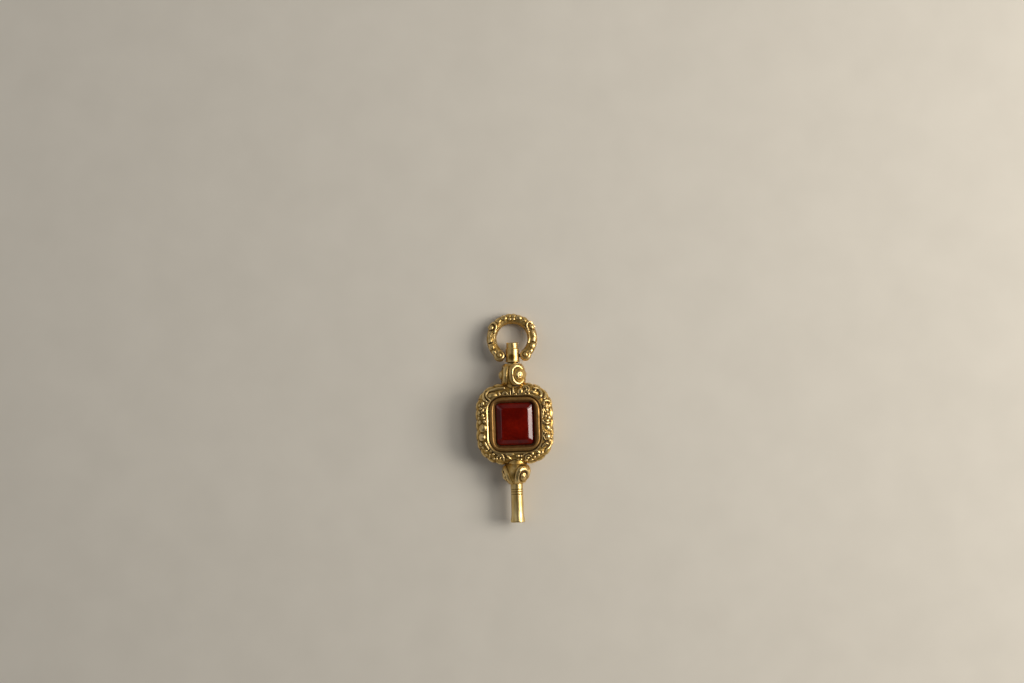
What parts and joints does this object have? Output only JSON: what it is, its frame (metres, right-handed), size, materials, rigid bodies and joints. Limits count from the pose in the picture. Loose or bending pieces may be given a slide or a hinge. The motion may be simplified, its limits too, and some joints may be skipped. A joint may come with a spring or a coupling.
{
  "type": "watch key",
  "caption": "Pendant watch key: square-socketed pipe, stamped scrollwork body set with a stone on each side, two hollow knops and a hinged bow on a swivel.",
  "frame": {"origin": "centre of the pipe's mouth, on the key's axis", "axes": "+Y along the key from the pipe's mouth to the bow, +Z out of the front stone; the key lies on its back, on the rim of the back collet"},
  "size_m": [0.0152, 0.0417, 0.0058],
  "materials": {
    "repousse_gold": "worn, dark in the recesses",
    "stem_gold": "plain, rubbed",
    "pipe_gold": "plain, burnished",
    "collet_gold": "dull, coppery",
    "brass_core": "turned",
    "tool_steel": "hardened, dark",
    "cement": "cast, matt",
    "carnelian": "polished",
    "bloodstone": "polished"
  },
  "bodies": {
    "key_body": {"pipe_sleeve": "pipe_gold", "pipe_liner": "tool_steel", "pipe_collar": "brass_core", "lower_knop_front_shell": "repousse_gold", "lower_knop_back_shell": "repousse_gold", "lower_knop_bush": "brass_core", "spine_rod": "brass_core", "spine_washer": "brass_core", "body_front_shell": "repousse_gold", "body_back_shell": "repousse_gold", "body_filler": "cement", "front_collet": "collet_gold", "back_collet": "collet_gold", "front_stone_bed": "cement", "back_stone_bed": "cement", "front_stone": "carnelian", "back_stone": "bloodstone", "upper_knop_front_shell": "repousse_gold", "upper_knop_back_shell": "repousse_gold", "upper_knop_cap": "stem_gold"},
    "swivel": {"swivel_stem": "stem_gold", "swivel_stud": "brass_core", "swivel_washer": "brass_core"},
    "bow": {"bow_front_shell": "repousse_gold", "bow_back_shell": "repousse_gold", "bow_terminal_left": "repousse_gold", "bow_terminal_right": "repousse_gold", "bow_pin": "tool_steel"}
  },
  "joints": [
    {"name": "swivel_turn", "type": "hinge", "parent": "key_body", "child": "swivel", "pos_m": [0, 0.032, 0], "axis": [0, 1, 0], "continuous": true},
    {"name": "bow_swing", "type": "hinge", "parent": "swivel", "child": "bow", "pos_m": [0, 0.0333, 0], "axis": [1, 0, 0], "range_deg": [-111.7, 138.3]}
  ]
}
